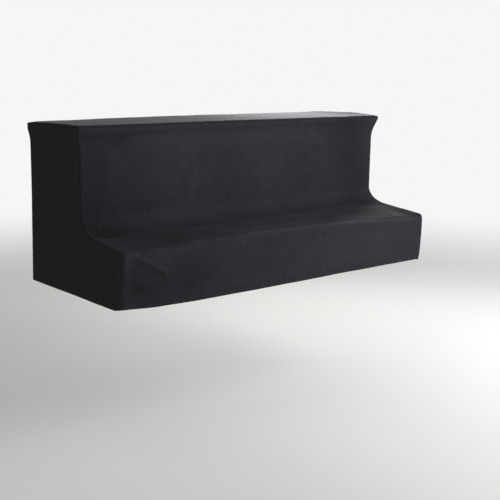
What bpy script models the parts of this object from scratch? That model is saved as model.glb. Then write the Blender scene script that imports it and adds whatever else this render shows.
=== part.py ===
"""A fitted cover for an upright piano, sewn from five panels of stretch velvet.

The cover is a hollow shell, open underneath, that drops over the closed lid. One long front
panel runs from the lid down the upper front, bends out over the key slope, rounds its front
edge and hangs as an apron. Two L-shaped side panels turn the corners, a plain panel closes the
back, and the top panel's edges are turned down to the seam round the lid.

Units are metres. +X is the player's right, +Y the wall behind the piano and +Z up. The origin
is the middle of the lid's top, on the underside of the top panel.
"""

import math
from collections import namedtuple

import bmesh
import bpy
from mathutils import Vector
from mathutils.geometry import interpolate_bezier

CLOTH = 0.002  # thickness of the velvet
SEAM_GAP = 0.0003  # between two panels along a seam
SEAM_FLAT = 0.003  # flat margin beside each seam, so that the edges meet square

LID_HALF_W = 0.7525
LID_HALF_D = 0.1940
LID_CORNER = 0.005  # corner radius of the lid in plan
TOP_ROUND = 0.006  # radius of the turned-down top edge
TOP_SEAM_Z = -0.006  # the seam round the lid

UPPER_SEAM_Z = TOP_SEAM_Z - SEAM_GAP
BEND_TOP_Z = -0.315  # where the upper front starts to bend out over the keys
BEND_END_OUT = 0.0705  # where the bend has become the key slope
BEND_END_Z = -0.3835
SLOPE_END_OUT = 0.2575
APRON_OUT = 0.278  # front face of the apron under its rounded edge
EDGE_DROP = 0.024  # height of the rounded front edge
BEND_PULL_DOWN = 0.56  # the handles that shape the bend and the rounded edge
BEND_PULL_OUT = 0.050
EDGE_PULL_OUT = 0.012
EDGE_PULL_UP = 0.42
BACK_IN = 0.013  # how far the back panel hangs inside the lid's overhang
BACK_HEM_Z = -0.611
BACK_HALF_W = 0.753
BACK_HEM_HALF_W = 0.760
BACK_CORNER = 0.006
BACK_CORNER_RUN = 0.1  # how far down the back corner takes to reach that radius
SIDE_DIP = 0.009  # how far the side hems hang below the ends of the front hem
DIP_POWER = 8  # how close to the hem that dip begins
FALL_POWER = 1.4  # how softly the cloth leaves the lid's edge

# The shape of the front panel where the plane x cuts it. A distance out is measured forwards
# from the lid's front edge. recess is how far the cloth falls in under the lid, lip the height
# of the lid's edge, reach how slowly it falls in, edge_z the height of the key slope's front
# edge, hem_z and hem_out the hem, and tuck how late the apron tucks in.
Section = namedtuple("Section", "x recess lip reach edge_z hem_z hem_out tuck")
SECTIONS = (
    Section(-0.76, 0.0200, 0.026, 0.018, -0.404, -0.603, 0.2575, 1.1),
    Section(-0.59, 0.0205, 0.021, 0.024, -0.399, -0.611, 0.2625, 1.5),
    Section(-0.42, 0.0210, 0.017, 0.028, -0.389, -0.614, 0.2645, 2.0),
    Section(-0.25, 0.0215, 0.016, 0.030, -0.385, -0.613, 0.2650, 2.0),
    Section(0.00, 0.0220, 0.015, 0.030, -0.387, -0.612, 0.2650, 2.0),
    Section(0.30, 0.0230, 0.014, 0.030, -0.391, -0.609, 0.2650, 2.5),
    Section(0.60, 0.0240, 0.013, 0.031, -0.401, -0.608, 0.2660, 3.5),
    Section(0.76, 0.0245, 0.012, 0.032, -0.405, -0.606, 0.2690, 5.0),
)

# The corners between the front and the sides, along the front path from the lid's seam: the
# half widths of the cover to its left and right, and the radii of its corners there.
Corner = namedtuple("Corner", "along left right left_radius right_radius")
CORNERS = (
    Corner(0.00, 0.7525, 0.7525, 0.005, 0.005),
    Corner(0.02, 0.7520, 0.7515, 0.006, 0.006),
    Corner(0.10, 0.7475, 0.7450, 0.011, 0.011),
    Corner(0.33, 0.7480, 0.7450, 0.011, 0.011),
    Corner(0.46, 0.7535, 0.7500, 0.011, 0.010),
    Corner(0.64, 0.7550, 0.7580, 0.012, 0.008),
    Corner(0.70, 0.7560, 0.7590, 0.014, 0.009),
    Corner(0.82, 0.7590, 0.7590, 0.022, 0.012),
    Corner(0.90, 0.7615, 0.7585, 0.038, 0.014),
)

# Soft creases pressed into the front panel, each a trough from one point to another across the
# width (x) and down the front path (along). They fade out beside the seams.
Crease = namedtuple("Crease", "x0 along0 x1 along1 depth width")
CREASES = (
    Crease(-0.725, 0.655, -0.615, 0.765, 0.0035, 0.018),
    Crease(-0.700, 0.445, -0.560, 0.425, 0.0025, 0.022),
    Crease(0.700, 0.455, 0.610, 0.430, 0.0020, 0.022),
)

CREASE_FADE = 0.05  # as a share of the half width

# Where the top panel stands above or below the flat lid.
Swell = namedtuple("Swell", "x y height reach_x reach_y")
SWELLS = (
    Swell(0.730, 0.060, 0.0045, 0.050, 0.160),
    Swell(-0.680, 0.194, -0.0050, 0.300, 0.120),
)

HOLLOW_DROPS = (0.013, 0.021, 0.029, 0.038, 0.049, 0.063, 0.082, 0.110)  # below the origin
UPPER_STEPS = 4
BEND_STEPS = 8
SLOPE_STEPS = 4
EDGE_STEPS = 5
APRON_STEPS = 8
CORNER_STEPS = 4
FRONT_COLUMNS = (-1, -0.97, -0.93, -0.89, -0.85, -0.81, -0.76, -0.69, -0.6, -0.5, -0.38, -0.25,
                 -0.1, 0.1, 0.25, 0.4, 0.55, 0.68, 0.78, 0.86, 0.93, 1)
SIDE_COLUMNS = (0.2, 0.42, 0.62, 0.8, 0.92, 1)
BACK_COLUMNS = (0, 0.25, 0.5, 0.75, 1)
SHORT_STEPS = 5  # across the ends of the lid
LONG_STEPS = 14  # along the front and back of the lid
TOP_RINGS = (0.012, 0.030, 0.060, 0.110, 0.160)  # distance in from the turned-down edge
WELD = 0.00001
VELVET_BLACK = (0.034, 0.035, 0.040, 1)


def between(a, b, share):
    """The value or point that lies this share of the way from a to b."""
    return a + (b - a) * share


def read_table(rows, at):
    """The table's row at this value of its first column, eased between the rows beside it."""
    if at <= rows[0][0]:
        return rows[0]
    for low, high in zip(rows, rows[1:]):
        if at <= high[0]:
            share = (at - low[0]) / (high[0] - low[0])
            eased = share * share * (3 - 2 * share)
            return type(low)(*(between(a, b, eased) for a, b in zip(low, high)))
    return rows[-1]


def bezier(start, towards, from_, end, steps):
    """Points (y, z) after start on a Bezier curve with these two handles."""
    knots = [Vector(point).to_3d() for point in (start, towards, from_, end)]
    return [point.to_2d() for point in interpolate_bezier(*knots, steps + 1)[1:]]


def fallen_in(section, drop):
    """The share of the way that the cloth has fallen in at this depth below the lid's top."""
    past = max(drop - section.lip, 0) / section.reach
    return 1 - math.exp(-(past**FALL_POWER))


def straight(start, end, steps):
    """Points (y, z) after start on a straight line."""
    return [Vector(start).lerp(Vector(end), step / steps) for step in range(1, steps + 1)]


def front_path(x):
    """Points (y, z) down the outside of the front panel in the plane x, seam to hem."""
    cut = read_table(SECTIONS, x)
    front = -LID_HALF_D
    upper_y, apron_y = front + cut.recess, front - APRON_OUT
    drops = (-UPPER_SEAM_Z, *HOLLOW_DROPS)
    path = [Vector((front + fallen_in(cut, drop) * cut.recess, -drop)) for drop in drops]
    path += straight(path[-1], (upper_y, BEND_TOP_Z), UPPER_STEPS)
    slope_start = Vector((front - BEND_END_OUT, BEND_END_Z))
    slope_end = Vector((front - SLOPE_END_OUT, cut.edge_z))
    down_slope = (slope_end - slope_start).normalized()
    bend_pull = (upper_y, between(BEND_TOP_Z, BEND_END_Z, BEND_PULL_DOWN))
    path += bezier(path[-1], bend_pull, slope_start - down_slope * BEND_PULL_OUT, slope_start, BEND_STEPS)
    path += straight(slope_start, slope_end, SLOPE_STEPS)
    apron_top = (apron_y, cut.edge_z - EDGE_DROP)
    edge_pull = (apron_y, cut.edge_z - EDGE_DROP * EDGE_PULL_UP)
    path += bezier(slope_end, slope_end + down_slope * EDGE_PULL_OUT, edge_pull, apron_top, EDGE_STEPS)
    for step in range(1, APRON_STEPS + 1):
        share = step / APRON_STEPS
        y = between(apron_y, front - cut.hem_out, share**cut.tuck)
        path.append(Vector((y, between(apron_top[1], cut.hem_z, share))))
    return path


def outward(path, k):
    """The unit vector (y, z) that points out of the cover at point k of a front path."""
    way = (path[min(k + 1, len(path) - 1)] - path[max(k - 1, 0)]).normalized()
    return Vector((way.y, -way.x))


def lengths_along(path):
    """The distance down the path from its first point to each of its points."""
    total, found = 0.0, [0.0]
    for a, b in zip(path, path[1:]):
        total += (b - a).length
        found.append(total)
    return found


ALONG = lengths_along(front_path(0.0))
CORNER_AT = [read_table(CORNERS, along) for along in ALONG]
UPPER_ROWS = 1 + len(HOLLOW_DROPS) + UPPER_STEPS  # rows above the bend


def corner_at(side, k):
    """The half width and the corner's radius on this side (-1 left, 1 right) at row k."""
    corner = CORNER_AT[k]
    return (corner.left, corner.left_radius) if side < 0 else (corner.right, corner.right_radius)


def seam_x(side, k):
    """Where the front seam lies on this side at row k of the front path."""
    half, radius = corner_at(side, k)
    return side * (half - radius - SEAM_FLAT)


def crease_depth(x, along):
    """How deep the soft creases press the front panel in at this place."""
    depth = 0.0
    for crease in CREASES:
        start, end = Vector((crease.x0, crease.along0)), Vector((crease.x1, crease.along1))
        run = end - start
        share = min(max((Vector((x, along)) - start).dot(run) / run.length_squared, 0), 1)
        away = (Vector((x, along)) - (start + run * share)).length
        depth += crease.depth * math.exp(-((away / crease.width) ** 2))
    return depth


def front_panel_rows():
    """The front panel's outer face, a row of points across it for each point of the path."""
    columns = []
    for place in FRONT_COLUMNS:
        path = front_path(place * LID_HALF_W)
        column = []
        for k, (y, z) in enumerate(path):
            low, high = seam_x(-1, k) + SEAM_GAP, seam_x(1, k) - SEAM_GAP
            x = between(low, high, (place + 1) / 2)
            pressed = crease_depth(x, ALONG[k]) * min(1, (1 - abs(place)) / CREASE_FADE)
            way = outward(path, k)
            column.append(Vector((x, y - way.x * pressed, z - way.y * pressed)))
        columns.append(column)
    return [list(row) for row in zip(*columns)]


def back_edge(side, k, path):
    """Half width, y and z of the back corner on the row that starts at point k of the front."""
    z = path[k].y
    if k >= UPPER_ROWS:
        share = (ALONG[k] - ALONG[UPPER_ROWS - 1]) / (ALONG[-1] - ALONG[UPPER_ROWS - 1])
        z = between(BEND_TOP_Z, BACK_HEM_Z, share)
    fallen = fallen_in(read_table(SECTIONS, side * LID_HALF_W), -z)
    hanging = between(BACK_HALF_W, BACK_HEM_HALF_W, (z / BACK_HEM_Z) ** 2)
    return between(LID_HALF_W, hanging, fallen), LID_HALF_D - BACK_IN * fallen, z


def back_corner_radius(k):
    """The back corner's radius, which starts as the lid's own."""
    return between(LID_CORNER, BACK_CORNER, min(ALONG[k] / BACK_CORNER_RUN, 1))


def side_panel_rows(side):
    """One side panel's outer face, a row for each point of the front path. Each runs from the
    flat margin by the front seam round the corner, along the side and round the back corner."""
    path = front_path(side * LID_HALF_W)
    rows = []
    for k, (y, z) in enumerate(path):
        way = outward(path, k)
        half, radius = corner_at(side, k)
        dip = SIDE_DIP * (ALONG[k] / ALONG[-1]) ** DIP_POWER
        row = [Vector((seam_x(side, k), y, z))]
        for step in range(CORNER_STEPS + 1):
            turn = math.pi / 2 * step / CORNER_STEPS
            inward = 1 - math.cos(turn)
            x = half - radius + radius * math.sin(turn)
            row.append(Vector((side * x, y - way.x * radius * inward, z - (way.y * radius + dip) * inward)))
        back_half, back_y, back_z = back_edge(side, k, path)
        radius = back_corner_radius(k)
        start, end = row[-1], Vector((side * back_half, back_y - radius, back_z))
        row += [start.lerp(end, share) for share in SIDE_COLUMNS]
        for step in range(1, CORNER_STEPS + 1):
            turn = math.pi / 2 * step / CORNER_STEPS
            x = back_half - radius + radius * math.cos(turn)
            row.append(Vector((side * x, back_y - radius + radius * math.sin(turn), back_z)))
        row.append(row[-1] - Vector((side * SEAM_FLAT, 0, 0)))
        rows.append(row if side > 0 else row[::-1])
    return rows


def back_panel_rows():
    """The back panel's outer face, between the flat margins of the two side panels."""
    gap = Vector((SEAM_GAP, 0, 0))
    rows = []
    for right_row, left_row in zip(side_panel_rows(1), side_panel_rows(-1)):
        right, left = right_row[-1] - gap, left_row[0] + gap
        rows.append([right.lerp(left, share) for share in BACK_COLUMNS])
    return rows


def lid_outline(inset):
    """The lid's rounded outline in plan, moved in by this distance, anticlockwise from above."""
    radius = max(LID_CORNER - inset, 0)
    half_w, half_d = LID_HALF_W - inset - radius, LID_HALF_D - inset - radius
    arcs = []
    for quarter, (x_side, y_side) in enumerate(((1, -1), (1, 1), (-1, 1), (-1, -1))):
        arc = []
        for step in range(CORNER_STEPS + 1):
            turn = math.pi / 2 * (quarter - 1 + step / CORNER_STEPS)
            arc.append((x_side * half_w + radius * math.cos(turn), y_side * half_d + radius * math.sin(turn)))
        arcs.append(arc)
    points = []
    for quarter, arc in enumerate(arcs):
        start, end = Vector(arc[-1]), Vector(arcs[(quarter + 1) % 4][0])
        steps = LONG_STEPS if quarter % 2 else SHORT_STEPS
        points += arc + [tuple(start.lerp(end, step / steps)) for step in range(1, steps)]
    return points


def top_height(x, y):
    """The height of the top panel's outer face, with its swells."""
    height = CLOTH
    for swell in SWELLS:
        away = ((x - swell.x) / swell.reach_x) ** 2 + ((y - swell.y) / swell.reach_y) ** 2
        height += swell.height * math.exp(-away)
    return height


def top_panel_rows():
    """The top panel's outer face in rings, from a line down its middle to the seam round the lid."""
    rings = [[Vector((x, y, TOP_SEAM_Z)) for x, y in lid_outline(0)]]
    for step in range(CORNER_STEPS + 1):
        turn = math.pi / 2 * step / CORNER_STEPS
        outline = lid_outline(TOP_ROUND * (1 - math.cos(turn)))
        low = CLOTH - TOP_ROUND
        rings.append([Vector((x, y, between(low, top_height(x, y), math.sin(turn)))) for x, y in outline])
    for inset in TOP_RINGS:
        rings.append([Vector((x, y, top_height(x, y))) for x, y in lid_outline(TOP_ROUND + inset)])
    middle = LID_HALF_W - LID_HALF_D
    rings.append([Vector((min(max(point.x, -middle), middle), 0, CLOTH)) for point in rings[-1]])
    return [ring + ring[:1] for ring in reversed(rings)]


def velvet(name):
    """Black stretch velvet with the faint sheen of its nap."""
    material = bpy.data.materials.new(name)
    material.use_nodes = True
    surface = material.node_tree.nodes["Principled BSDF"]
    surface.inputs["Base Color"].default_value = VELVET_BLACK
    surface.inputs["Roughness"].default_value = 0.95
    surface.inputs["Metallic"].default_value = 0.0
    surface.inputs["Sheen Weight"].default_value = 0.4
    return material


def sew_panel(name, rows):
    """A panel lofted through rows of points on its outer face, then given the cloth's thickness.
    The rows run down the cover, and their points anticlockwise round it as seen from above."""
    sheet = bmesh.new()
    grid = [[sheet.verts.new(point) for point in row] for row in rows]
    for upper, lower in zip(grid, grid[1:]):
        for j in range(len(upper) - 1):
            sheet.faces.new((upper[j], lower[j], lower[j + 1], upper[j + 1]))
    bmesh.ops.remove_doubles(sheet, verts=sheet.verts, dist=WELD)
    mesh = bpy.data.meshes.new(name)
    sheet.to_mesh(mesh)
    sheet.free()
    mesh.shade_smooth()
    mesh.materials.append(velvet(name + "_velvet"))
    panel = bpy.data.objects.new(name, mesh)
    bpy.data.collections["piano_cover"].objects.link(panel)
    cloth = panel.modifiers.new("cloth", "SOLIDIFY")
    cloth.thickness = CLOTH
    cloth.offset = -1
    return panel


def main():
    for old in list(bpy.data.objects):
        bpy.data.objects.remove(old)
    cover = bpy.data.collections.new("piano_cover")
    bpy.context.scene.collection.children.link(cover)
    sew_panel("top_panel", top_panel_rows())
    sew_panel("front_panel", front_panel_rows())
    sew_panel("left_side_panel", side_panel_rows(-1))
    sew_panel("right_side_panel", side_panel_rows(1))
    sew_panel("back_panel", back_panel_rows())


main()
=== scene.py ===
"""The looks of a fitted cover for an upright piano, sewn from five panels of stretch velvet.

Each panel is a thin sheet of velvet that takes the place of its plain solid in the frame. The
edges turn in along the seams, as sewn edges do, and the hem is folded up inside and stitched.
The outlines and the main folds are the frame's, but for a few millimetres at the lid's edge, under
it and at the right end of the key slope. The finer creases, the puckers beside the seams and the
brushed nap are added here, and so are the light and shade painted into the front panel's nap.

Units are metres, in the frame's axes: +X the player's right, +Y the wall behind the piano, +Z up.
The origin is the middle of the lid's top, on the underside of the cloth.
"""

import math
from collections import namedtuple

import bmesh
import bpy
from mathutils import Matrix, Vector, noise
from mathutils.geometry import interpolate_bezier


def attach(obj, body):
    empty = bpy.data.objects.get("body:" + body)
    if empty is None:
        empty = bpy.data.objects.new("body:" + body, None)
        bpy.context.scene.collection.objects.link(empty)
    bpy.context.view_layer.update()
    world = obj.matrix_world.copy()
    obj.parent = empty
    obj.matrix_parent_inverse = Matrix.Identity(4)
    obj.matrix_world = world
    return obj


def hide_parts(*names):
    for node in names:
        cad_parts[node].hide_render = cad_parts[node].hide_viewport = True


# ---- The cover's shape ------------------------------------------------------------------------

CLOTH_TOP = 0.002  # the pile side of the top panel, above the lid
LID_HALF_W = 0.7570
LID_HALF_D = 0.1940
LID_CORNER = 0.008  # corner radius of the lid in plan
TOP_ROUND = 0.006  # radius of the turned-down top edge
TOP_SEAM_Z = -0.006  # the seam round the lid

SEAM_GAP = 0.0003  # between two panels along a seam
SEAM_FLAT = 0.003  # flat margin beside each back seam
UPPER_SEAM_Z = TOP_SEAM_Z - SEAM_GAP
HOLLOW_Z = -0.110  # where the cloth has fallen in under the lid
BEND_TOP_Z = -0.315  # where the upper front starts to bend out over the keys
BEND_END_OUT = 0.0705  # where the bend has become the key slope
BEND_END_Z = -0.3835
SLOPE_END_OUT = 0.2575
APRON_OUT = 0.278  # front face of the apron under its rounded edge
EDGE_DROP = 0.024  # height of the rounded front edge
BEND_PULL_DOWN = 0.56  # the handles that shape the bend and the rounded edge
BEND_PULL_OUT = 0.050
EDGE_PULL_OUT = 0.012
EDGE_PULL_UP = 0.42
BACK_IN = 0.013  # how far the back panel hangs inside the lid's overhang
BACK_REACH = 1.6  # how much slower it falls in there than at the front
BACK_HEM_Z = -0.611
BACK_HALF_W = 0.7510  # under the lid's overhang
BACK_HEM_HALF_W = 0.760
BACK_CORNER = 0.006
BACK_CORNER_RUN = 0.1  # how far down the back corner takes to reach that radius
SIDE_DIP = 0.009  # how far the side hems hang below the ends of the front hem
DIP_POWER = 8  # how close to the hem that dip begins
FALL_POWER = 1.4  # how softly the cloth leaves the lid's edge

# The shape of the front panel where the plane x cuts it. A distance out is measured forwards
# from the lid's front edge. recess is how far the cloth falls in under the lid, lip the height
# of the lid's edge, reach how slowly it falls in, edge_z the height of the key slope's front
# edge, hem_z and hem_out the hem, and tuck how late the apron tucks in.
Section = namedtuple("Section", "x recess lip reach edge_z hem_z hem_out tuck")
SECTIONS = (
    Section(-0.76, 0.0200, 0.026, 0.018, -0.404, -0.603, 0.2575, 1.1),
    Section(-0.59, 0.0205, 0.021, 0.024, -0.399, -0.611, 0.2625, 1.5),
    Section(-0.42, 0.0210, 0.017, 0.028, -0.389, -0.614, 0.2645, 2.0),
    Section(-0.25, 0.0215, 0.016, 0.030, -0.385, -0.613, 0.2650, 2.0),
    Section(0.00, 0.0220, 0.015, 0.030, -0.387, -0.612, 0.2650, 2.0),
    Section(0.30, 0.0230, 0.014, 0.030, -0.391, -0.609, 0.2650, 2.5),
    Section(0.60, 0.0240, 0.013, 0.031, -0.407, -0.608, 0.2660, 3.5),
    Section(0.70, 0.0243, 0.012, 0.032, -0.411, -0.607, 0.2680, 4.0),
    Section(0.76, 0.0245, 0.012, 0.032, -0.405, -0.606, 0.2690, 5.0),
)

# The corners between the front and the sides, along the front path from the lid's seam: the
# half widths of the cover to its left and right, the radii of its corners there, and how far
# round the corners the seams lie, in degrees.
Corner = namedtuple("Corner", "along left right left_radius right_radius seam_turn")
CORNERS = (
    Corner(0.00, LID_HALF_W, LID_HALF_W, LID_CORNER, LID_CORNER, 72),
    Corner(0.02, 0.7560, 0.7555, 0.008, 0.008, 72),
    Corner(0.09, 0.7420, 0.7428, 0.009, 0.010, 72),
    Corner(0.33, 0.7440, 0.7425, 0.009, 0.010, 72),
    Corner(0.46, 0.7520, 0.7475, 0.009, 0.009, 72),
    Corner(0.64, 0.7550, 0.7580, 0.012, 0.008, 72),
    Corner(0.70, 0.7560, 0.7590, 0.015, 0.009, 70),
    Corner(0.82, 0.7590, 0.7590, 0.024, 0.012, 60),
    Corner(0.90, 0.7615, 0.7585, 0.036, 0.014, 54),
)

# Where the top panel stands above or below the flat lid.
Swell = namedtuple("Swell", "x y height reach_x reach_y")
SWELLS = (
    Swell(0.730, 0.060, 0.0045, 0.050, 0.160),
    Swell(-0.680, 0.194, -0.0050, 0.300, 0.120),
)

# Where the cover's upper edge, with its seam, droops or lifts.
EDGE_LIFTS = (
    Swell(-0.757, 0.194, -0.0050, 0.026, 0.026),
    Swell(0.757, -0.194, -0.0030, 0.022, 0.022),
    Swell(0.757, -0.050, 0.0045, 0.060, 0.090),
)
LIFT_FADE = 0.035  # how far down the cover they reach
LIFT_GONE = 4 * LIFT_FADE  # where nothing is left of them

# ---- The cloth, its seams, hem and creases ---------------------------------------------------

VELVET = 0.0014  # thickness of the cloth with its pile
SEAM_ROLL = 0.0016  # radius at which an edge turns in along a seam
SEAM_ALLOWANCE = 0.0055  # how deep the upright seams' edges stand inside the cover
LID_ALLOWANCE = 0.0022  # the same along the seam round the lid, where it lies against the lid
HEM_ROLL = 0.0017  # radius of the fold at the hem
HEM_TURN_UP = 0.024  # width of the hem folded up inside
HEM_STITCH_UP = 0.019  # the stitch line above the hem's fold
STITCH_GROOVE = 0.0006  # how deep the stitches draw the velvet in
STITCH_GROOVE_WIDTH = 0.0022
STITCH_LENGTH = 0.0032
STITCH_PITCH = 0.0046
THREAD = 0.0004  # radius of the thread
HEM_BAND = 0.026  # stretch above the hem where the rows are even all round

PUCKER_DEPTH = 0.0009  # the little waves where a seam draws the cloth up
PUCKER_PITCH = 0.021
PUCKER_REACH = 0.016
UNEVEN_BROAD = 0.0011  # the cloth's slow unevenness, and its finer one
UNEVEN_BROAD_SIZE = 0.17
UNEVEN_FINE = 0.00028
UNEVEN_FINE_SIZE = 0.042
HEM_WAVE = 0.0016  # how far the hem wanders in and out
HEM_WAVE_SIZE = 0.16
HEM_WAVE_REACH = 0.06

# Soft creases in the front panel, each from one place to another across the width (x) and down
# the front path (along). A ridge has a positive height and a trough a negative one.
Crease = namedtuple("Crease", "x0 along0 x1 along1 height width")
CREASES = (
    # the diagonal fold from the apron's left corner, with the hollow under it
    Crease(-0.740, 0.628, -0.580, 0.730, 0.0032, 0.012),
    Crease(-0.705, 0.688, -0.600, 0.745, -0.0028, 0.021),
    # where the cloth is drawn into the bend at both ends
    Crease(-0.700, 0.445, -0.560, 0.425, -0.0025, 0.022),
    Crease(0.700, 0.455, 0.610, 0.430, -0.0020, 0.022),
)
CREASE_FADE = 0.035  # beside the seams

# ---- How finely each stretch of the cover is drawn -------------------------------------------

HOLLOW_STEPS = 15
HOLLOW_GRADE = 1.35
UPPER_STEPS = 27
BEND_STEPS = 20
SLOPE_STEPS = 24
EDGE_STEPS = 12
APRON_STEPS = 22
HEM_ROWS_UP = (0.0225, 0.0208, 0.0199, HEM_STITCH_UP, 0.0181, 0.0172, 0.0155, 0.012, 0.008, 0.004)
CORNER_STEPS = 8
BACK_CORNER_STEPS = 5
ROLL_STEPS = 4
FOLD_STEPS = 7
FINE_STEP = 0.002  # columns beside a seam
COARSE_STEP = 0.0085  # columns elsewhere
STEP_GROWTH = 1.3
BACK_COARSE_STEP = 0.011
TOP_ROUND_STEPS = 7
TOP_RING_STEP = 0.0095
TOP_MIDDLE_WIDTH = 0.004  # the innermost ring, beside the middle line
WELD = 0.00001  # points nearer than this are joined
UP = Vector((0, 0, 1))
NEARLY_UP = 0.97  # cloth whose outward direction rises this much counts as level


def clamp(value, low, high):
    return min(max(value, low), high)


def between(a, b, share):
    """The value or point that lies this share of the way from a to b."""
    return a + (b - a) * share


def read_table(rows, at):
    """The table's row at this value of its first column, eased between the rows beside it."""
    if at <= rows[0][0]:
        return rows[0]
    for low, high in zip(rows, rows[1:]):
        if at <= high[0]:
            share = (at - low[0]) / (high[0] - low[0])
            eased = share * share * (3 - 2 * share)
            return type(low)(*(between(a, b, eased) for a, b in zip(low, high)))
    return rows[-1]


def graded(length, coarse):
    """Shares from 0 to 1 along this length, in steps that grow from fine at its ends to coarse."""
    reached, step, marks = 0.0, FINE_STEP, [0.0]
    while reached < length / 2:
        reached += step
        marks.append(reached)
        step = min(step * STEP_GROWTH, coarse)
    half = [mark / reached / 2 for mark in marks]
    return half + [1 - share for share in reversed(half[:-1])]


# ---- The front path --------------------------------------------------------------------------


def bezier(start, towards, from_, end, steps):
    """Points (y, z) after start on a Bezier curve with these two handles."""
    knots = [Vector(point).to_3d() for point in (start, towards, from_, end)]
    return [point.to_2d() for point in interpolate_bezier(*knots, steps + 1)[1:]]


def straight(start, end, steps):
    """Points (y, z) after start on a straight line."""
    return [Vector(start).lerp(Vector(end), step / steps) for step in range(1, steps + 1)]


def fallen_in(section, drop):
    """The share of the way that the cloth has fallen in at this depth below the lid's top."""
    past = max(drop - section.lip, 0) / section.reach
    return 1 - math.exp(-(past**FALL_POWER))


def front_path(x):
    """Points (y, z) down the pile side of the front panel in the plane x, from the roll of the
    lid's seam to the start of the hem's fold."""
    cut = read_table(SECTIONS, x)
    front = -LID_HALF_D
    upper_y, apron_y = front + cut.recess, front - APRON_OUT
    path = []
    for step in range(HOLLOW_STEPS + 1):
        drop = between(SEAM_ROLL - UPPER_SEAM_Z, -HOLLOW_Z, (step / HOLLOW_STEPS) ** HOLLOW_GRADE)
        path.append(Vector((front + fallen_in(cut, drop) * cut.recess, -drop)))
    path += straight(path[-1], (upper_y, BEND_TOP_Z), UPPER_STEPS)
    slope_start = Vector((front - BEND_END_OUT, BEND_END_Z))
    slope_end = Vector((front - SLOPE_END_OUT, cut.edge_z))
    down_slope = (slope_end - slope_start).normalized()
    bend_pull = (upper_y, between(BEND_TOP_Z, BEND_END_Z, BEND_PULL_DOWN))
    path += bezier(path[-1], bend_pull, slope_start - down_slope * BEND_PULL_OUT, slope_start, BEND_STEPS)
    path += straight(slope_start, slope_end, SLOPE_STEPS)
    apron_top = Vector((apron_y, cut.edge_z - EDGE_DROP))
    edge_pull = (apron_y, cut.edge_z - EDGE_DROP * EDGE_PULL_UP)
    path += bezier(slope_end, slope_end + down_slope * EDGE_PULL_OUT, edge_pull, apron_top, EDGE_STEPS)
    hang = apron_top.y - cut.hem_z
    shares = [step / APRON_STEPS * (1 - HEM_BAND / hang) for step in range(1, APRON_STEPS + 1)]
    shares += [1 - up / hang for up in (*HEM_ROWS_UP, HEM_ROLL)]
    for share in shares:
        y = between(apron_y, front - cut.hem_out, share**cut.tuck)
        path.append(Vector((y, between(apron_top.y, cut.hem_z, share))))
    return path


def outward(path, k):
    """The unit vector (y, z) that points out of the cover at point k of a front path."""
    way = (path[min(k + 1, len(path) - 1)] - path[max(k - 1, 0)]).normalized()
    return Vector((way.y, -way.x))


def lengths_along(path):
    """The distance down the path from the lid's seam to each of its points."""
    total, found = SEAM_ROLL, [SEAM_ROLL]
    for a, b in zip(path, path[1:]):
        total += (b - a).length
        found.append(total)
    return found


ALONG = lengths_along(front_path(0.0))
HEM_ALONG = ALONG[-1] + HEM_ROLL
CORNER_AT = [read_table(CORNERS, along) for along in ALONG]
UPPER_ROWS = 1 + HOLLOW_STEPS + UPPER_STEPS  # rows above the bend
BAND_ROW = len(ALONG) - len(HEM_ROWS_UP) - 2  # where the even rows of the hem begin
STITCH_ROW = BAND_ROW + 1 + HEM_ROWS_UP.index(HEM_STITCH_UP)


def corner_at(side, k):
    """The half width and the corner's radius on this side (-1 left, 1 right) at row k."""
    corner = CORNER_AT[k]
    return (corner.left, corner.left_radius) if side < 0 else (corner.right, corner.right_radius)


def corner_point(side, k, path, past):
    """The point on row k that lies this far past the start of the corner on this side: on the
    front if it is negative, then round the corner, then on the side."""
    y, z = path[k]
    way = outward(path, k)
    half, radius = corner_at(side, k)
    arc = radius * math.pi / 2
    turn = clamp(past, 0, arc) / radius
    round_share = 1 - math.cos(turn)
    x = half - radius + min(past, 0) + radius * math.sin(turn)
    inward = radius * round_share + max(past - arc, 0)
    dip = SIDE_DIP * (ALONG[k] / HEM_ALONG) ** DIP_POWER * round_share
    return Vector((side * x, y - way.x * inward, z - way.y * inward - dip))


def seam_past(side, k):
    """How far past the start of the corner the front seam lies on row k."""
    return corner_at(side, k)[1] * math.radians(CORNER_AT[k].seam_turn)


# ---- Panels as grids of spots ----------------------------------------------------------------

# A spot on a panel before its edges are turned: its point, its place on the flat cloth, its
# distance to the nearest upright seam, to the lid's seam and to the hem, the creases there, and
# how open its nap is, with painted light and shade added: 0 as it hangs, more where it is stretched,
# brushed light or painted light, less where brushed dark or painted shade.
Spot = namedtuple("Spot", "point flat to_seam to_lid to_hem crease nap")
FAR = 9.0  # a distance to an edge that the panel doesn't have

LID_NAP = 0.03  # how far the nap opens along the lid's edge, and along a seam
LID_NAP_REACH = 0.012
SEAM_NAP = 0.06
SEAM_NAP_REACH = 0.012
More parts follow.
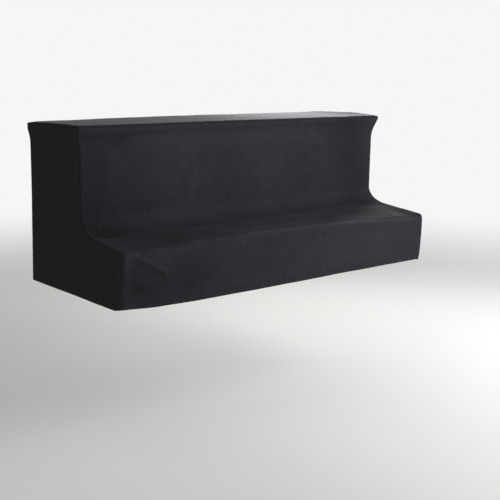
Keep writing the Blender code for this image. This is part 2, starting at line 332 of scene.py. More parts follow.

# Where the front panel is painted lighter or darker: in brush marks of its nap, and in painted light
# and shade on the key slope, the bend, the rounded edge, the upper front and the apron, each from one
# place to another across the width (x) and down the front path (along).
Stroke = namedtuple("Stroke", "x0 along0 x1 along1 nap width")
STROKES = (
    # painted shade over the key slope, and over its right end a little less
    Stroke(-0.450, 0.530, 0.480, 0.530, -0.110, 0.075),
    Stroke(0.640, 0.480, 0.720, 0.560, -0.060, 0.070),
    Stroke(0.420, 0.520, 0.580, 0.520, -0.090, 0.060),
    Stroke(-0.680, 0.400, -0.480, 0.560, -0.080, 0.075),
    # painted shade along its start, smoothing it at the left, and a soft painted highlight on its front
    # towards the rounded edge
    Stroke(-0.420, 0.446, -0.060, 0.440, -0.100, 0.018),
    Stroke(-0.700, 0.446, -0.620, 0.446, -0.090, 0.022),
    Stroke(-0.300, 0.598, 0.060, 0.592, 0.090, 0.028),
    Stroke(0.280, 0.595, 0.420, 0.590, 0.070, 0.028),
    # painted shade at the ends of the bend
    Stroke(-0.350, 0.428, -0.250, 0.430, -0.080, 0.022),
    Stroke(0.500, 0.392, 0.680, 0.396, -0.070, 0.018),
    # the upper front: painted light below the lid, lighter in its broad middle, and painted shade at its
    # left end
    Stroke(-0.480, 0.048, 0.360, 0.048, 0.140, 0.034),
    Stroke(0.060, 0.080, 0.120, 0.220, 0.100, 0.140),
    Stroke(-0.330, 0.080, -0.300, 0.240, 0.120, 0.170),
    Stroke(0.600, 0.080, 0.660, 0.270, -0.170, 0.130),
    Stroke(-0.720, 0.180, -0.700, 0.380, -0.130, 0.110),
    # brush marks down the upper front
    Stroke(-0.312, 0.120, -0.300, 0.165, 0.060, 0.013),
    Stroke(-0.296, 0.205, -0.284, 0.245, -0.070, 0.013),
    Stroke(-0.272, 0.150, -0.268, 0.190, -0.060, 0.011),
    Stroke(-0.250, 0.095, -0.246, 0.150, 0.060, 0.012),
    Stroke(-0.240, 0.195, -0.244, 0.262, 0.070, 0.014),
    Stroke(-0.204, 0.140, -0.192, 0.175, -0.060, 0.012),
    Stroke(-0.182, 0.205, -0.176, 0.232, 0.050, 0.013),
    Stroke(0.060, 0.240, 0.072, 0.275, -0.060, 0.015),
    Stroke(0.105, 0.170, 0.100, 0.215, 0.050, 0.013),
    Stroke(-0.520, 0.300, -0.470, 0.310, -0.060, 0.022),
    Stroke(-0.600, 0.110, -0.560, 0.150, 0.050, 0.024),
    Stroke(0.375, 0.057, 0.450, 0.115, 0.080, 0.011),
    Stroke(0.330, 0.150, 0.350, 0.185, -0.060, 0.014),
    # a painted highlight along the rounded edge, crisp at the right and in soft lumps at the left
    Stroke(-0.200, 0.645, 0.300, 0.643, 0.200, 0.010),
    Stroke(0.300, 0.643, 0.720, 0.643, 0.300, 0.010),
    Stroke(0.220, 0.643, 0.460, 0.643, 0.150, 0.009),
    Stroke(-0.250, 0.652, -0.235, 0.660, 0.080, 0.026),
    Stroke(-0.345, 0.646, -0.330, 0.652, 0.070, 0.022),
    Stroke(-0.440, 0.640, -0.425, 0.652, 0.090, 0.026),
    Stroke(-0.535, 0.652, -0.515, 0.658, 0.080, 0.022),
    Stroke(-0.600, 0.650, -0.575, 0.650, 0.070, 0.020),
    Stroke(-0.655, 0.611, -0.645, 0.613, 0.060, 0.018),
    Stroke(-0.720, 0.494, -0.700, 0.520, 0.080, 0.018),
    # the apron: painted shade towards its left end and painted light towards its right one, with painted
    # light on the ridge of the fold at its left corner and painted shade in the hollow under it
    Stroke(-0.640, 0.800, -0.450, 0.760, -0.120, 0.080),
    Stroke(-0.720, 0.700, -0.700, 0.780, -0.130, 0.050),
    Stroke(-0.740, 0.630, -0.585, 0.728, 0.120, 0.009),
    Stroke(-0.680, 0.700, -0.600, 0.738, -0.080, 0.018),
    Stroke(-0.745, 0.670, -0.745, 0.850, 0.080, 0.016),
    Stroke(0.150, 0.760, 0.500, 0.740, 0.080, 0.090),
)


def beside(x, along, line):
    """How near this place is to a crease or stroke, from 1 on its line to 0 far from it."""
    start, end = Vector((line.x0, line.along0)), Vector((line.x1, line.along1))
    run = end - start
    share = clamp((Vector((x, along)) - start).dot(run) / run.length_squared, 0, 1)
    away = (Vector((x, along)) - (start + run * share)).length
    return math.exp(-((away / line.width) ** 2))


def crease_height(x, along, to_seam):
    """How far the soft creases raise the front panel at this place."""
    height = sum(crease.height * beside(x, along, crease) for crease in CREASES)
    return height * min(1, to_seam / CREASE_FADE)


def edge_nap(to_seam, to_lid):
    """How far the nap is opened where the cloth is drawn over the lid's edge or a seam."""
    lid_share = math.exp(-((to_lid / LID_NAP_REACH) ** 2))
    return LID_NAP * lid_share + SEAM_NAP * math.exp(-((to_seam / SEAM_NAP_REACH) ** 2))


def front_nap_and_painted_light(x, along, to_seam):
    """How open the front panel's nap is at this place, with the painted light and shade of its strokes."""
    brushed_and_painted_light = sum(stroke.nap * beside(x, along, stroke) for stroke in STROKES)
    return brushed_and_painted_light + edge_nap(to_seam, along)


def front_rows():
    """The front panel, from the left seam round both corners to the right one."""
    columns = []
    inset = SEAM_GAP / 2 + SEAM_ROLL
    for share in graded(2 * LID_HALF_W, COARSE_STEP):
        path = front_path(between(-LID_HALF_W, LID_HALF_W, share))
        column = []
        for k in range(len(path)):
            (left, left_radius), (right, right_radius) = corner_at(-1, k), corner_at(1, k)
            low = left_radius - left - seam_past(-1, k) + inset
            high = right - right_radius + seam_past(1, k) - inset
            x = between(low, high, share)
            if x < 0:
                point = corner_point(-1, k, path, left_radius - left - x)
            else:
                point = corner_point(1, k, path, x + right_radius - right)
            to_seam = min(x - low, high - x)
            crease = crease_height(x, ALONG[k], to_seam)
            nap = front_nap_and_painted_light(x, ALONG[k], to_seam)
            flat, to_hem = (x, ALONG[k]), HEM_ALONG - ALONG[k]
            column.append(Spot(point, flat, to_seam, ALONG[k], to_hem, crease, nap))
        columns.append(column)
    return [list(row) for row in zip(*columns)]


def back_edge(side, k, path):
    """Half width, y and z of the back corner on the row that starts at point k of the front."""
    z = path[k].y
    if k >= BAND_ROW:
        z = BACK_HEM_Z + HEM_ALONG - ALONG[k]
    elif k >= UPPER_ROWS:
        share = (ALONG[k] - ALONG[UPPER_ROWS - 1]) / (ALONG[BAND_ROW] - ALONG[UPPER_ROWS - 1])
        z = between(BEND_TOP_Z, BACK_HEM_Z + HEM_ALONG - ALONG[BAND_ROW], share)
    section = read_table(SECTIONS, side * LID_HALF_W)
    fallen = fallen_in(section._replace(reach=section.reach * BACK_REACH), -z)
    hanging = between(BACK_HALF_W, BACK_HEM_HALF_W, z / BACK_HEM_Z)
    return between(LID_HALF_W, hanging, fallen), LID_HALF_D - BACK_IN * fallen, z


def back_corner_radius(k):
    """The back corner's radius, which starts as the lid's own."""
    return between(LID_CORNER, BACK_CORNER, min(ALONG[k] / BACK_CORNER_RUN, 1))


def side_points(side, k, path):
    """One row of a side panel: from the roll of the front seam, through the rest of the corner,
    along the side and round the back corner to the roll of the back seam."""
    start = seam_past(side, k) + SEAM_GAP / 2 + SEAM_ROLL
    end = max(corner_at(side, k)[1] * math.pi / 2, start + SEAM_FLAT)
    turned = [between(start, end, step / CORNER_STEPS) for step in range(CORNER_STEPS + 1)]
    row = [corner_point(side, k, path, past) for past in turned]
    back_half, back_y, back_z = back_edge(side, k, path)
    radius = back_corner_radius(k)
    side_end = Vector((side * back_half, back_y - radius, back_z))
    row += [row[-1].lerp(side_end, share) for share in SIDE_SHARES[1:]]
    for step in range(1, BACK_CORNER_STEPS + 1):
        turn = math.pi / 2 * step / BACK_CORNER_STEPS
        x = back_half - radius + radius * math.cos(turn)
        row.append(Vector((side * x, back_y - radius + radius * math.sin(turn), back_z)))
    row.append(row[-1] - Vector((side * (SEAM_FLAT - SEAM_ROLL), 0, 0)))
    return row


SIDE_SHARES = graded(2 * LID_HALF_D + APRON_OUT / 2, COARSE_STEP)


def side_rows(side):
    """One side panel: -1 the left one, 1 the right one."""
    path = front_path(side * LID_HALF_W)
    rows = []
    for k in range(len(path)):
        points = side_points(side, k, path)
        across = [0.0]
        for a, b in zip(points, points[1:]):
            across.append(across[-1] + (b - a).length)
        row = []
        for point, gone in zip(points, across):
            to_seam = min(gone, across[-1] - gone)
            nap = edge_nap(to_seam, ALONG[k])
            flat, to_hem = (point.y, point.z), HEM_ALONG - ALONG[k]
            row.append(Spot(point, flat, to_seam, ALONG[k], to_hem, 0.0, nap))
        rows.append(row if side > 0 else row[::-1])
    return rows


def back_rows():
    """The back panel, from the right side's seam to the left one's."""
    right_path, left_path = front_path(LID_HALF_W), front_path(-LID_HALF_W)
    shares = graded(2 * LID_HALF_W, BACK_COARSE_STEP)
    inset = Vector((SEAM_GAP + 2 * SEAM_ROLL, 0, 0))
    rows = []
    for k in range(len(ALONG)):
        right = side_points(1, k, right_path)[-1] - inset
        left = side_points(-1, k, left_path)[-1] + inset
        row = []
        for share in shares:
            point = right.lerp(left, share)
            to_seam = min(share, 1 - share) * (right - left).length
            nap = edge_nap(to_seam, ALONG[k])
            flat, to_hem = (point.x, point.z), HEM_ALONG - ALONG[k]
            row.append(Spot(point, flat, to_seam, ALONG[k], to_hem, 0.0, nap))
        rows.append(row)
    return rows


def lid_outline(inset):
    """The lid's rounded outline in plan, moved in by this distance, anticlockwise from above."""
    radius = max(LID_CORNER - inset, 0)
    half_w, half_d = LID_HALF_W - inset - radius, LID_HALF_D - inset - radius
    arcs = []
    for quarter, (x_side, y_side) in enumerate(((1, -1), (1, 1), (-1, 1), (-1, -1))):
        arc = []
        for step in range(CORNER_STEPS + 1):
            turn = math.pi / 2 * (quarter - 1 + step / CORNER_STEPS)
            x = x_side * half_w + radius * math.cos(turn)
            arc.append((x, y_side * half_d + radius * math.sin(turn)))
        arcs.append(arc)
    points = []
    for quarter, arc in enumerate(arcs):
        start, end = Vector(arc[-1]), Vector(arcs[(quarter + 1) % 4][0])
        length = 2 * LID_HALF_W if quarter % 2 else 2 * LID_HALF_D
        points += arc + [tuple(start.lerp(end, share)) for share in graded(length, COARSE_STEP)[1:-1]]
    return points


def swell_height(swell, x, y):
    """How far a swell raises this place."""
    away = ((x - swell.x) / swell.reach_x) ** 2 + ((y - swell.y) / swell.reach_y) ** 2
    return swell.height * math.exp(-away)


def top_height(x, y):
    """The height of the top panel's pile side, with its swells."""
    height = CLOTH_TOP
    for swell in SWELLS:
        height += swell_height(swell, x, y)
    return height


def from_lid_edge(x, y):
    """The distance in from the lid's edge, softened where two edges meet."""
    gaps = (LID_HALF_W - abs(x), LID_HALF_D - abs(y))
    return -PUCKER_REACH * math.log(sum(math.exp(-gap / PUCKER_REACH) for gap in gaps))


def top_rows():
    """The top panel in rings, from a line down its middle to the roll of the seam round the lid."""
    rings = []
    low = CLOTH_TOP - TOP_ROUND
    outline = lid_outline(0)
    rings.append([(Vector((x, y, TOP_SEAM_Z + SEAM_ROLL)), 0.0) for x, y in outline])
    for step in range(1, TOP_ROUND_STEPS + 1):
        turn = math.pi / 2 * step / TOP_ROUND_STEPS
        outline = lid_outline(TOP_ROUND * (1 - math.cos(turn)))
        to_lid = TOP_ROUND * turn
        risen = math.sin(turn)
        ring = [Vector((x, y, between(low, top_height(x, y), risen))) for x, y in outline]
        rings.append([(point, to_lid) for point in ring])
    inset = TOP_ROUND + TOP_RING_STEP / 2
    while inset < LID_HALF_D - TOP_MIDDLE_WIDTH:
        outline = lid_outline(inset)
        rings.append([(Vector((x, y, top_height(x, y))), from_lid_edge(x, y)) for x, y in outline])
        inset += TOP_RING_STEP
    middle = LID_HALF_W - LID_HALF_D
    line = [clamp(point.x, -middle, middle) for point, _ in rings[-1]]
    rings.append([(Vector((x, 0, top_height(x, 0))), LID_HALF_D) for x in line])
    rows = []
    for ring in reversed(rings):
        row = [Spot(point, (point.x, point.y), FAR, to_lid, FAR, 0.0, 0.0) for point, to_lid in ring]
        rows.append(row + row[:1])
    return rows


def waves(place, size):
    """Smooth unevenness from -1 to 1 at this place, with waves about this size."""
    return noise.noise(Vector(place) / size)


def relief(spot):
    """How far the cloth stands out from its main shape at this spot."""
    height = spot.crease
    height += UNEVEN_BROAD * waves(spot.point, UNEVEN_BROAD_SIZE)
    height += UNEVEN_FINE * waves(spot.point, UNEVEN_FINE_SIZE)
    u, v = spot.flat
    drawn = PUCKER_DEPTH * math.exp(-spot.to_seam / PUCKER_REACH)
    height += drawn * waves((spot.point.x, 0, v), PUCKER_PITCH)
    drawn = PUCKER_DEPTH * math.exp(-spot.to_lid / PUCKER_REACH)
    height += drawn * waves((u, spot.point.y, 0), PUCKER_PITCH)
    height += HEM_WAVE * waves(spot.point, HEM_WAVE_SIZE) * math.exp(-spot.to_hem / HEM_WAVE_REACH)
    from_stitches = (spot.to_hem - HEM_STITCH_UP) / STITCH_GROOVE_WIDTH
    return height - STITCH_GROOVE * math.exp(-from_stitches * from_stitches)


# ---- Turned edges ----------------------------------------------------------------------------

# One step of an edge as it turns: how far it goes on past the panel, how far in, how much cloth
# that takes, and whether it is deep inside, where two turned edges that cross are clipped.
Turn = namedtuple("Turn", "ahead inward cloth deep")
UNTURNED = Turn(0.0, 0.0, 0.0, False)


def seam_turns(allowance):
    """An edge that rolls in along a seam and stands inside the cover."""
    turns = []
    for step in range(1, ROLL_STEPS + 1):
        angle = math.pi / 2 * step / ROLL_STEPS
        ahead, inward = SEAM_ROLL * math.sin(angle), SEAM_ROLL * (1 - math.cos(angle))
        turns.append(Turn(ahead, inward, SEAM_ROLL * angle, False))
    rolled = turns[-1]
    turns.append(Turn(SEAM_ROLL, rolled.inward + allowance, rolled.cloth + allowance, True))
    return turns


def hem_turns():
    """A hem that folds under and up inside the cover."""
    turns = []
    for step in range(1, FOLD_STEPS + 1):
        angle = math.pi * step / FOLD_STEPS
        ahead, inward = HEM_ROLL * math.sin(angle), HEM_ROLL * (1 - math.cos(angle))
        turns.append(Turn(ahead, inward, HEM_ROLL * angle, True))
    for up in (*reversed(HEM_ROWS_UP), HEM_TURN_UP):
        turns.append(Turn(-up, 2 * HEM_ROLL, HEM_ROLL * math.pi + up, True))
    return turns


def edge_lift(point):
    """How far the cover's upper edge is lifted at this point."""
    if point.z < -LIFT_GONE:
        return 0.0
    lift = 0.0
    for swell in EDGE_LIFTS:
        lift += swell_height(swell, point.x, point.y)
    return lift * math.exp(min(point.z, 0) / LIFT_FADE)


def shaped(rows):
    """The grid's points raised by their relief, and the directions that point outwards there.
    Level cloth is raised straight up, so that the lid's points that meet at a corner stay joined."""
    normals = []
    for i, row in enumerate(rows):
        above, below = rows[max(i - 1, 0)], rows[min(i + 1, len(rows) - 1)]
        line = []
        for j in range(len(row)):
            across = row[min(j + 1, len(row) - 1)].point - row[max(j - 1, 0)].point
            normal = (below[j].point - above[j].point).cross(across)
            normal = normal.normalized() if normal.length > WELD * WELD else UP
            line.append(UP if normal.z > NEARLY_UP else normal)
        normals.append(line)
    points = [[spot.point + normal * relief(spot) + Vector((0, 0, edge_lift(spot.point)))
               for spot, normal in zip(row, line)] for row, line in zip(rows, normals)]
    return points, normals


def edge_plan(count, first, last):
    """Which line of the grid each line of the sheet starts from, towards which end it goes on,
    and how it turns there."""
    plan = [(0, -1, turn) for turn in reversed(first)]
    plan += [(index, 0, UNTURNED) for index in range(count)]
    return plan + [(count - 1, 1, turn) for turn in last]


def cut_sheet(rows, seams, top, bottom):
    """A mesh of the panel with its edges turned in: at both upright seams, at the top and at the
    bottom. The flat cloth's places become its UV map, in metres."""
    points, normals = shaped(rows)
    row_plan = edge_plan(len(rows), top, bottom)
    column_plan = edge_plan(len(rows[0]), seams, seams)
    cloth = bmesh.new()
    flat_map = cloth.loops.layers.uv.new("cloth")
    nap = cloth.verts.layers.float.new("nap")
    grid, flats = [], {}
    for i, down, turn_down in row_plan:
        line = []
        for j, side, turn_side in column_plan:
            point, normal = points[i][j], normals[i][j]
            if down:
                way = points[i][j] - points[i - down][j]
                point = point + way.normalized() * turn_down.ahead
            if side:
                way = points[i][j] - points[i][j - side]
                point = point + way.normalized() * turn_side.ahead
            vertex = cloth.verts.new(point - normal * (turn_down.inward + turn_side.inward))
            vertex[nap] = rows[i][j].nap
            u, v = rows[i][j].flat
            flats[vertex] = (u + side * turn_side.cloth, v + down * turn_down.cloth)
            line.append(vertex)
        grid.append(line)
    for i, (upper, lower) in enumerate(zip(grid, grid[1:])):
        deep_row = row_plan[i][2].deep or row_plan[i + 1][2].deep
        for j in range(len(upper) - 1):
            if deep_row and (column_plan[j][2].deep or column_plan[j + 1][2].deep):
                continue
            face = cloth.faces.new((upper[j], lower[j], lower[j + 1], upper[j + 1]))
            for loop in face.loops:
                loop[flat_map].uv = flats[loop.vert]
    bmesh.ops.remove_doubles(cloth, verts=cloth.verts, dist=WELD)
    loose = [vertex for vertex in cloth.verts if not vertex.link_faces]
    bmesh.ops.delete(cloth, geom=loose, context="VERTS")
    return cloth


def sew_panel(name, node, rows, seams, top, bottom):
    """One panel of the cover as a thin sheet, in place of its solid in the frame."""
    cloth = cut_sheet(rows, seams, top, bottom)
    mesh = bpy.data.meshes.new(name)
    cloth.to_mesh(mesh)
    cloth.free()
    mesh.shade_smooth()
    mesh.materials.append(FINISHES["pile"])
    mesh.materials.append(FINISHES["backing"])
    panel = bpy.data.objects.new(name, mesh)
    bpy.context.scene.collection.objects.link(panel)
    thickness = panel.modifiers.new("thickness", "SOLIDIFY")
    thickness.thickness = VELVET
    thickness.offset = -1
    thickness.material_offset = 1
    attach(panel, "root")
    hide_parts(node)
    return panel


# ---- Finishes --------------------------------------------------------------------------------


class Signal:
    """A number that varies over a surface. Sums and products of signals add their Math nodes."""

    def __init__(self, finish, socket):
        self.finish = finish
        self.socket = socket

    def combine(self, operation, first, second):
        return self.finish.add("ShaderNodeMath", {"operation": operation}, {0: first, 1: second})

    def __add__(self, other):
        return self.combine("ADD", self, other)

    def __radd__(self, other):
        return self.combine("ADD", other, self)

    def __sub__(self, other):
        return self.combine("SUBTRACT", self, other)

    def __rsub__(self, other):
        return self.combine("SUBTRACT", other, self)

    def __mul__(self, other):
        return self.combine("MULTIPLY", self, other)

    def __rmul__(self, other):
        return self.combine("MULTIPLY", other, self)


class Finish:
    """The nodes of a material, or of the room's light."""

    def __init__(self, holder):
        holder.use_nodes = True
        self.holder = holder
        self.tree = holder.node_tree
        self.tree.nodes.clear()

    def add(self, kind, settings=None, inputs=None, output=0):
        """A node of this kind with these settings, and values or links in its sockets."""
        node = self.tree.nodes.new(kind)
        for name, value in (settings or {}).items():
            setattr(node, name, value)
        for name, value in (inputs or {}).items():
            if isinstance(value, Signal):
                self.tree.links.new(value.socket, node.inputs[name])
            else:
                node.inputs[name].default_value = value
        return Signal(self, node.outputs[output]) if node.outputs else node

    def flat_cloth(self, stretch):
        """Places on the flat cloth, in metres, stretched by these factors."""
        place = self.add("ShaderNodeUVMap", {"uv_map": "cloth"})
        return self.add("ShaderNodeMapping", {}, {"Vector": place, "Scale": stretch})

    def noise(self, where, size, detail=2.0, roughness=0.5):
        """Soft noise with features about this size, from 0 to 1."""
        values = {"Vector": where, "Scale": 1 / size, "Detail": detail, "Roughness": roughness}
        return self.add("ShaderNodeTexNoise", {"noise_dimensions": "3D"}, values)

    def ease(self, signal, low, high):
        """From 0 at the low value to 1 at the high one, smoothly."""
        limits = {"Value": signal, "From Min": low, "From Max": high}
        return self.add("ShaderNodeMapRange", {"interpolation_type": "SMOOTHSTEP"}, limits)

    def blend(self, share, first, second):
        """A colour this share of the way from the first to the second."""
        colours = {"Factor": share, "A": first, "B": second}
        node = self.tree.nodes.new("ShaderNodeMix")
        node.data_type = "RGBA"
        for name, value in colours.items():
            socket = next(s for s in node.inputs if s.name == name and s.enabled)
            if isinstance(value, Signal):
                self.tree.links.new(value.socket, socket)
            else:
                socket.default_value = value
        return Signal(self, next(s for s in node.outputs if s.enabled))

    def surface(self, **values):
        """The material, with this shader. Constant values are set on its own sockets."""
        named = {name.replace("_", " "): value for name, value in values.items()}
        shader = self.add("ShaderNodeBsdfPrincipled", {}, named)
        self.add("ShaderNodeOutputMaterial", {}, {"Surface": shader})
        return self.holder


def new_finish(name):
    return Finish(bpy.data.materials.new(name))


# The pile's colour runs from the first black to the second: painted shade pulls it towards the first and
# painted light towards the second, as the nap does.
DEEP_BLACK = (0.0120, 0.0118, 0.0138, 1.0)
OPEN_AND_LIT_BLACK = (0.0598, 0.0594, 0.0708, 1.0)
SHEEN_TINT = (0.92, 0.93, 1.00, 1.0)
NAP_AT_REST = 0.375  # how far from the first to the second
EVEN = (1.0, 1.0, 1.0)

# How the pile varies over the flat cloth: the size of its features, how they are stretched down the
# cloth (less is longer), and how much they lighten the nap.
Mottle = namedtuple("Mottle", "size stretch weight")
PATCHES = Mottle(0.085, (1.0, 0.8, 1.0), 0.15)
SMUDGES = Mottle(0.018, (1.0, 0.65, 1.0), 0.24)
BRUSHED = Mottle(0.009, (1.0, 0.35, 1.0), 0.10)
PILE = Mottle(0.0011, EVEN, 0.05)
MOTTLE_MIDDLE = 0.27  # half of all the weights


def pile_finish():
    """Short-pile stretch velvet: black, a little lighter or darker in soft patches and faint
    strokes where the nap is brushed another way, with a soft sheen at grazing angles. The attribute
    it reads also carries the light and shade painted on the front panel's slope, bend, rounded edge,
    upper front and apron."""
    finish = new_finish("velvet_pile")
    cloth = finish.flat_cloth(PILE.stretch)
    brushed_down = finish.flat_cloth(BRUSHED.stretch)
    patches = finish.noise(finish.flat_cloth(PATCHES.stretch), PATCHES.size, detail=3.0, roughness=0.55)
    smudges = finish.noise(finish.flat_cloth(SMUDGES.stretch), SMUDGES.size, detail=2.0)
    strokes = finish.noise(brushed_down, BRUSHED.size, detail=2.0)
    pile = finish.noise(cloth, PILE.size, detail=1.0)
    # painted light and shade of the front panel come in through this attribute, mixed with its brushed nap
    lay = finish.add("ShaderNodeAttribute", {"attribute_name": "nap"}, {}, "Fac")
    mottle = patches * PATCHES.weight + smudges * SMUDGES.weight
    mottle = mottle + strokes * BRUSHED.weight + pile * PILE.weight
    nap = lay + (NAP_AT_REST - MOTTLE_MIDDLE) + mottle
    height = pile * 0.7 + strokes * 0.3
    normal = finish.add("ShaderNodeBump", {}, {"Strength": 0.4, "Distance": 0.0004, "Height": height})
    return finish.surface(
        Base_Color=finish.blend(nap, DEEP_BLACK, OPEN_AND_LIT_BLACK),
        Roughness=0.95 - patches * 0.10,
        Normal=normal,
        Specular_IOR_Level=0.02,
        Sheen_Weight=0.06,
        Sheen_Roughness=0.25,
        Sheen_Tint=SHEEN_TINT,
    )


BACKING_DARK = (0.010, 0.010, 0.011, 1.0)
BACKING_LIGHT = (0.030, 0.030, 0.032, 1.0)


def backing_finish():
    """The velvet's knitted back: fine dull ribs, without pile."""
    finish = new_finish("velvet_backing")
    cloth = finish.flat_cloth(EVEN)
    ribs = finish.add(
        "ShaderNodeTexWave",
        {"wave_type": "BANDS", "bands_direction": "X"},
        {"Vector": cloth, "Scale": 260.0, "Distortion": 1.2, "Detail": 1.0, "Detail Scale": 2.0},
    )
    loops = finish.noise(cloth, 0.0014, detail=1.0)
    weave = ribs * 0.6 + loops * 0.4
    normal = finish.add("ShaderNodeBump", {}, {"Strength": 0.5, "Distance": 0.0004, "Height": weave})
    return finish.surface(
        Base_Color=finish.blend(weave, BACKING_DARK, BACKING_LIGHT),
        Roughness=0.88 + weave * 0.06,
        Normal=normal,
        Specular_IOR_Level=0.25,
    )


THREAD_DARK = (0.008, 0.008, 0.009, 1.0)
THREAD_LIGHT = (0.024, 0.024, 0.027, 1.0)


def thread_finish():
    """Black sewing thread."""
    finish = new_finish("black_thread")
    place = finish.add("ShaderNodeTexCoord", {}, {}, output="Object")
    twist = finish.noise(place, 0.0006, detail=1.0)
    return finish.surface(
        Base_Color=finish.blend(twist, THREAD_DARK, THREAD_LIGHT),
        Roughness=0.60 + twist * 0.2,
        Specular_IOR_Level=0.2,
    )


FLOOR_PALE = (0.80, 0.79, 0.77, 1.0)
FLOOR_SHADE = (0.77, 0.76, 0.74, 1.0)
FLOOR_NEAR = 1.8  # the floor fades away into the pale room between these distances
FLOOR_FAR = 5.5


def floor_finish():
    """A plain pale floor that fades into the room far from the cover."""
    finish = new_finish("pale_floor")
    place = finish.add("ShaderNodeTexCoord", {}, {}, output="Object")
    mottle = finish.noise(place, 0.9, detail=3.0)
    away = finish.add("ShaderNodeVectorMath", {"operation": "LENGTH"}, {0: place}, "Value")
    paint = finish.add("ShaderNodeBsdfPrincipled", {}, {
        "Base Color": finish.blend(mottle, FLOOR_SHADE, FLOOR_PALE),
        "Roughness": 0.80 + mottle * 0.08,
        "Specular IOR Level": 0.2,
    })
    clear = finish.add("ShaderNodeBsdfTransparent")
    gone = finish.ease(away, FLOOR_NEAR, FLOOR_FAR)
    faded = finish.add("ShaderNodeMixShader", {}, {0: gone, 1: paint, 2: clear})
    finish.add("ShaderNodeOutputMaterial", {}, {"Surface": faded})
    return finish.holder


# ---- Stitching -------------------------------------------------------------------------------

STITCH_SIDES = 6

# The rings of a stitch: how far along it in its own length, and its height over the cloth and its
# width in radii of the thread.
STITCH_RINGS = (
    (-0.5, -1.0, 0.7), (-0.32, 0.3, 1.0), (0.0, 0.6, 1.05), (0.32, 0.3, 1.0), (0.5, -1.0, 0.7))


def stitch_line(name, rows):
    """The stitches along a panel's hem: short lengths of thread sunk in their groove, one mesh."""
    points, normals = shaped(rows)
    line, ways = points[STITCH_ROW], normals[STITCH_ROW]
    thread = bmesh.new()
    gone, due = 0.0, STITCH_PITCH / 2
    for a, b, normal in zip(line, line[1:], ways):
        length = (b - a).length
        while due <= gone + length:
            along = (b - a).normalized()
            place = a.lerp(b, (due - gone) / length)
            add_stitch(thread, place, along, normal)
            due += STITCH_PITCH
        gone += length
    mesh = bpy.data.meshes.new(name)
    thread.to_mesh(mesh)
    thread.free()
    mesh.shade_smooth()
    mesh.materials.append(FINISHES["thread"])
    stitches = bpy.data.objects.new(name, mesh)
    bpy.context.scene.collection.objects.link(stitches)
    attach(stitches, "root")
    return stitches


def add_stitch(thread, place, along, normal):
    """One stitch: a short bent thread whose ends go down into the cloth."""
    side = along.cross(normal)
    rings = []
    for share, lift, width in STITCH_RINGS:
        centre = place + along * share * STITCH_LENGTH + normal * lift * THREAD
        ring = []
        for corner in range(STITCH_SIDES):
            angle = 2 * math.pi * corner / STITCH_SIDES
            spoke = side * math.cos(angle) + normal * math.sin(angle)
            ring.append(thread.verts.new(centre + spoke * THREAD * width))
        rings.append(ring)
    for near, far in zip(rings, rings[1:]):
        for corner in range(STITCH_SIDES):
            after = (corner + 1) % STITCH_SIDES
            thread.faces.new((near[corner], near[after], far[after], far[corner]))
    thread.faces.new(reversed(rings[0]))
    thread.faces.new(rings[-1])


# ---- Floor, light and camera -----------------------------------------------------------------

FLOOR_Z = -1.162  # the lid stands this high above the floor
FLOOR_SIZE = 30.0

CAMERA_PLACE = (-2.362, -3.081, 0.215)
CAMERA_YAW = 0.690  # to the right of straight at the wall
CAMERA_PITCH = -0.1951
CAMERA_ROLL = 0.012
CAMERA_LENS = 67.39
SENSOR_WIDTH = 36.0


def lay_floor():
    """The floor, with its place in its mesh."""
    bpy.ops.mesh.primitive_plane_add(size=FLOOR_SIZE, location=(0, 0, 0))
    floor = bpy.context.object
    floor.name = "floor"
    floor.data.transform(Matrix.Translation((0, 0, FLOOR_Z)))
    floor.data.materials.append(floor_finish())


# Large softboxes to the right and above in front, one behind that grazes the cover, and a narrow
# one behind for the right half of the lid. Each shines from its place towards its target, in watts,
# with its beam's spread in degrees.
Softbox = namedtuple("Softbox", "name place target width height power colour spread")
WARM = (1.0, 0.99, 0.98)
SOFTBOXES = (
    Softbox("right_softbox", (2.7, -1.8, -0.1), (0.2, -0.3, -0.25), 2.4, 1.6, 71, (0.92, 1.0, 1.0), 180),
    Softbox("key_softbox", (1.8, -3.2, 2.2), (0.1, -0.3, -0.25), 2.4, 1.6, 62, (1.0, 0.98, 1.0), 180),
    Softbox("back_softbox", (2.9, 2.4, 0.45), (0.4, 0.0, 0.0), 2.4, 1.0, 31, WARM, 90),
    Softbox("lid_softbox", (0.9, 2.4, 0.45), (0.55, 0.0, 0.0), 0.4, 0.3, 6.2, WARM, 24),
)


def add_softbox(box):
    """A rectangular light at its place, turned towards its target."""
    lamp = bpy.data.lights.new(box.name, "AREA")
    lamp.shape = "RECTANGLE"
    lamp.size = box.width
    lamp.size_y = box.height
    lamp.energy = box.power
    lamp.color = box.colour
    lamp.spread = math.radians(box.spread)
    softbox = bpy.data.objects.new(box.name, lamp)
    softbox.visible_camera = False
    softbox.location = box.place
    way = Vector(box.target) - Vector(box.place)
    softbox.rotation_euler = way.to_track_quat("-Z", "Y").to_euler()
    bpy.context.scene.collection.objects.link(softbox)


BRIGHT_SIDE = (0.74, 0.64, 0.10)  # towards the room's pale corner, beyond the cover
WALL_LIGHT = 0.25  # all round
BRIGHT_WALL = 0.60  # more on the bright side
CEILING_LIGHT = 0.37
BRIGHT_EDGE = (-0.55, 0.70)  # how far towards the bright side it starts and is full
CEILING_EDGE = (0.10, 0.60)  # how far up the ceiling starts and is full
PALE_ROOM = 0.92  # what the camera sees beyond the floor


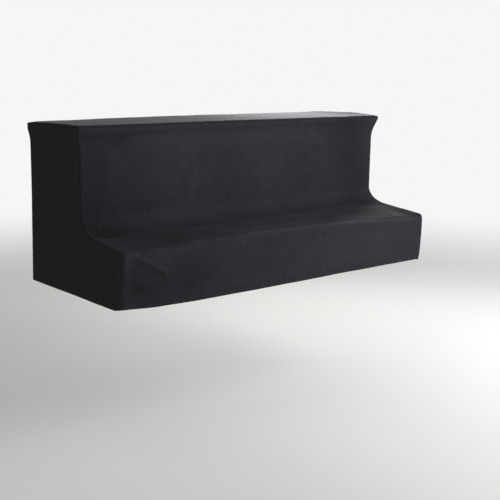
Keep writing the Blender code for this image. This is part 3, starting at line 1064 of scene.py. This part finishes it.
def fill_room():
    """A plain pale room: bright beyond the cover and to its right, dark behind the camera and to
    the left, with a dimmer ceiling."""
    world = bpy.data.worlds.new("pale_room")
    bpy.context.scene.world = world
    room = Finish(world)
    direction = room.add("ShaderNodeTexCoord")
    seen = room.add("ShaderNodeLightPath")
    dot = {"operation": "DOT_PRODUCT"}
    toward = room.add("ShaderNodeVectorMath", dot, {0: direction, 1: BRIGHT_SIDE}, "Value")
    upward = room.add("ShaderNodeVectorMath", dot, {0: direction, 1: (0, 0, 1)}, "Value")
    ceiling = room.ease(upward, *CEILING_EDGE)
    bright = room.ease(toward, *BRIGHT_EDGE)
    light = (1 - ceiling) * (WALL_LIGHT + bright * BRIGHT_WALL) + ceiling * CEILING_LIGHT
    strength = seen * PALE_ROOM + (1 - seen) * light
    background = room.add("ShaderNodeBackground", {}, {"Color": (1.0, 1.0, 1.0, 1.0), "Strength": strength})
    room.add("ShaderNodeOutputWorld", {}, {"Surface": background})


def light_studio():
    """The softboxes, the room's light and plain colours."""
    for box in SOFTBOXES:
        add_softbox(box)
    fill_room()
    bpy.context.scene.view_settings.view_transform = "Standard"


def place_camera():
    """The camera, turned by its yaw, pitch and roll."""
    forward = Vector((
        math.sin(CAMERA_YAW) * math.cos(CAMERA_PITCH),
        math.cos(CAMERA_YAW) * math.cos(CAMERA_PITCH),
        math.sin(CAMERA_PITCH),
    ))
    right = Vector((math.cos(CAMERA_YAW), -math.sin(CAMERA_YAW), 0))
    up = right.cross(forward)
    rolled_right = right * math.cos(CAMERA_ROLL) + up * math.sin(CAMERA_ROLL)
    rolled_up = up * math.cos(CAMERA_ROLL) - right * math.sin(CAMERA_ROLL)
    lens = bpy.data.cameras.new("camera")
    lens.lens = CAMERA_LENS
    lens.sensor_width = SENSOR_WIDTH
    camera = bpy.data.objects.new("camera", lens)
    turn = Matrix((rolled_right, rolled_up, -forward)).transposed()
    camera.matrix_world = Matrix.Translation(CAMERA_PLACE) @ turn.to_4x4()
    bpy.context.scene.collection.objects.link(camera)
    bpy.context.scene.camera = camera


# ---- The cover -------------------------------------------------------------------------------

SIDE_AREA = 0.30  # of one L-shaped side, laid flat, in square metres


def make_cover():
    """Every panel with its stitches, each in place of its own node's solid."""
    upright = seam_turns(SEAM_ALLOWANCE)
    lid_seam = seam_turns(LID_ALLOWANCE)
    hem = hem_turns()
    drop = HEM_ALONG + HEM_TURN_UP
    back_drop = -BACK_HEM_Z + HEM_TURN_UP
    depth = 2 * LID_HALF_D + APRON_OUT
    panels = (
        ("front", "front_panel", front_rows(), (2 * LID_HALF_W, drop), None),
        ("left_side", "left_side_panel", side_rows(-1), (depth, back_drop), SIDE_AREA),
        ("right_side", "right_side_panel", side_rows(1), (depth, back_drop), SIDE_AREA),
        ("back", "back_panel", back_rows(), (2 * LID_HALF_W, back_drop), None),
    )
    for name, node, rows, flat, area in panels:
        panel = sew_panel(name + "_velvet", node, rows, upright, lid_seam, hem)
        stitches = stitch_line(name + "_hem_stitches", rows)
    top = sew_panel("top_velvet", "top_panel", top_rows(), (), (), lid_seam)


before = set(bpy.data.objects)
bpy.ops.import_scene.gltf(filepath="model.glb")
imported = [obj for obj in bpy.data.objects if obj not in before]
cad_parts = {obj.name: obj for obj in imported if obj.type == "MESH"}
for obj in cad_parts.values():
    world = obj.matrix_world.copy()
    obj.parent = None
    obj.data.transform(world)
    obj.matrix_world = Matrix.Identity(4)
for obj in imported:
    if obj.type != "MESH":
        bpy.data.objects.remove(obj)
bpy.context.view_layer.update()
FINISHES = {"pile": pile_finish(), "backing": backing_finish(), "thread": thread_finish()}
place_camera()
lay_floor()
light_studio()
make_cover()
